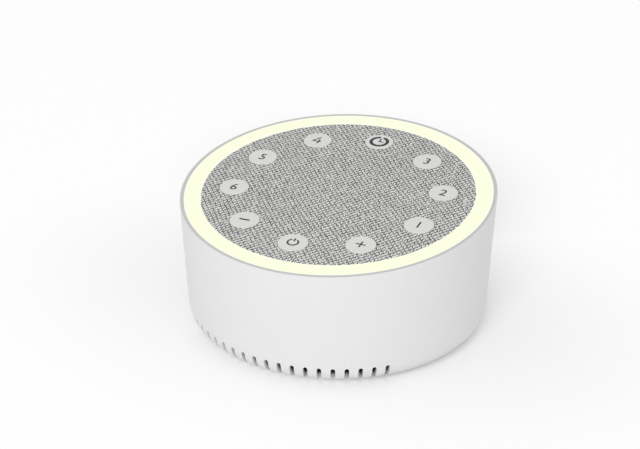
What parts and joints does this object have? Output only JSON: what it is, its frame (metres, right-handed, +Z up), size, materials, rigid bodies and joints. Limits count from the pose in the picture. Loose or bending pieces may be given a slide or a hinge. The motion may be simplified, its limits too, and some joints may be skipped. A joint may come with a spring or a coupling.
{
  "type": "white noise sound machine",
  "caption": "Round table-top sound machine: tapered drum with a slanted woven top, a glowing ring, press buttons, vent slots and an inner speaker.",
  "frame": {"origin": "on the surface it stands on, under the drum's axis, at the faces of the feet", "axes": "+Z up; -Y towards the front, where the vent slots and the power button are; the top slopes up towards +Y; +X to the right of someone who faces the front"},
  "size_m": [0.12, 0.1199, 0.0569],
  "materials": {
    "shell": "fine satin moulded plastic, white",
    "rim": "satin grey",
    "diffuser": "frosted, lit from below",
    "reflector": "white",
    "lamp": "surface-mount lamp with a phosphor face",
    "fabric": "plain weave, heathered grey",
    "dark_plastic": "dark grey moulded plastic",
    "cap": "fine satin, light grey, printed sign",
    "plunger": "black",
    "switch": "pressed cover",
    "board": "green solder mask",
    "screw": "zinc-plated",
    "gasket": "foam",
    "basket": "black-painted pressed steel",
    "surround": "matt",
    "cone": "pressed paper",
    "coil": "enamelled copper wire on a former",
    "spider": "resin-stiffened cloth",
    "pole_iron": "zinc-plated",
    "ferrite": "dark sintered magnet",
    "terminal": "tinned lugs on a strip",
    "chip": "moulded package",
    "can": "drawn can",
    "header": "cream moulded",
    "ribbon": "flat flexible strip",
    "wire_red": "insulated wire",
    "wire_black": "insulated wire",
    "socket_shell": "plated",
    "socket_tongue": "black",
    "base": "dark grey moulded plastic",
    "foot": "matt"
  },
  "bodies": {
    "root": {"housing": "shell", "rim_ring": "rim", "light_diffuser": "diffuser", "light_reflector": "reflector", "leds": "lamp", "fabric_cover": "fabric", "top_plate": "dark_plastic", "switch_bodies": "switch", "control_board": "board", "control_board_screws": "screw", "plate_screws": "screw", "speaker_gasket": "gasket", "speaker_frame": "basket", "speaker_surround": "surround", "spider": "spider", "magnet_front_plate": "pole_iron", "magnet": "ferrite", "magnet_yoke": "pole_iron", "speaker_terminal": "terminal", "speaker_screws": "screw", "main_board": "board", "main_board_screws": "screw", "processor_chip": "chip", "small_chips": "chip", "capacitors": "can", "board_headers": "header", "ribbon_cable": "ribbon", "speaker_wires": "wire_red", "power_wires": "wire_black", "usb_board": "board", "usb_board_screws": "screw", "usb_socket": "socket_shell", "usb_tongue": "socket_tongue", "base_cover": "base", "base_screws": "screw", "feet": "foot"},
    "cap_power": {"button_power": "cap", "plunger_power": "plunger"},
    "cap_plus": {"button_plus": "cap", "plunger_plus": "plunger"},
    "cap_sound_1": {"button_sound_1": "cap", "plunger_sound_1": "plunger"},
    "cap_sound_2": {"button_sound_2": "cap", "plunger_sound_2": "plunger"},
    "cap_sound_3": {"button_sound_3": "cap", "plunger_sound_3": "plunger"},
    "cap_timer": {"button_timer": "cap", "plunger_timer": "plunger"},
    "cap_sound_4": {"button_sound_4": "cap", "plunger_sound_4": "plunger"},
    "cap_sound_5": {"button_sound_5": "cap", "plunger_sound_5": "plunger"},
    "cap_sound_6": {"button_sound_6": "cap", "plunger_sound_6": "plunger"},
    "cap_minus": {"button_minus": "cap", "plunger_minus": "plunger"},
    "speaker_moving": {"speaker_cone": "cone", "dust_cap": "cone", "voice_coil": "coil"}
  },
  "joints": [
    {"name": "press_power", "type": "slide", "parent": "root", "child": "cap_power", "axis": [0, 0.0854, -0.9963], "range_m": [0, 0.0004], "stiffness_N_per_m": 4000},
    {"name": "press_plus", "type": "slide", "parent": "root", "child": "cap_plus", "axis": [0, 0.0854, -0.9963], "range_m": [0, 0.0004], "stiffness_N_per_m": 4000},
    {"name": "press_sound_1", "type": "slide", "parent": "root", "child": "cap_sound_1", "axis": [0, 0.0854, -0.9963], "range_m": [0, 0.0004], "stiffness_N_per_m": 4000},
    {"name": "press_sound_2", "type": "slide", "parent": "root", "child": "cap_sound_2", "axis": [0, 0.0854, -0.9963], "range_m": [0, 0.0004], "stiffness_N_per_m": 4000},
    {"name": "press_sound_3", "type": "slide", "parent": "root", "child": "cap_sound_3", "axis": [0, 0.0854, -0.9963], "range_m": [0, 0.0004], "stiffness_N_per_m": 4000},
    {"name": "press_timer", "type": "slide", "parent": "root", "child": "cap_timer", "axis": [0, 0.0854, -0.9963], "range_m": [0, 0.0004], "stiffness_N_per_m": 4000},
    {"name": "press_sound_4", "type": "slide", "parent": "root", "child": "cap_sound_4", "axis": [0, 0.0854, -0.9963], "range_m": [0, 0.0004], "stiffness_N_per_m": 4000},
    {"name": "press_sound_5", "type": "slide", "parent": "root", "child": "cap_sound_5", "axis": [0, 0.0854, -0.9963], "range_m": [0, 0.0004], "stiffness_N_per_m": 4000},
    {"name": "press_sound_6", "type": "slide", "parent": "root", "child": "cap_sound_6", "axis": [0, 0.0854, -0.9963], "range_m": [0, 0.0004], "stiffness_N_per_m": 4000},
    {"name": "press_minus", "type": "slide", "parent": "root", "child": "cap_minus", "axis": [0, 0.0854, -0.9963], "range_m": [0, 0.0004], "stiffness_N_per_m": 4000},
    {"name": "cone_slide", "type": "slide", "parent": "root", "child": "speaker_moving", "axis": [0, -0.0854, 0.9963], "range_m": [-0.001, 0.001], "stiffness_N_per_m": 2400, "deforming": ["speaker_surround", "spider"]}
  ]
}
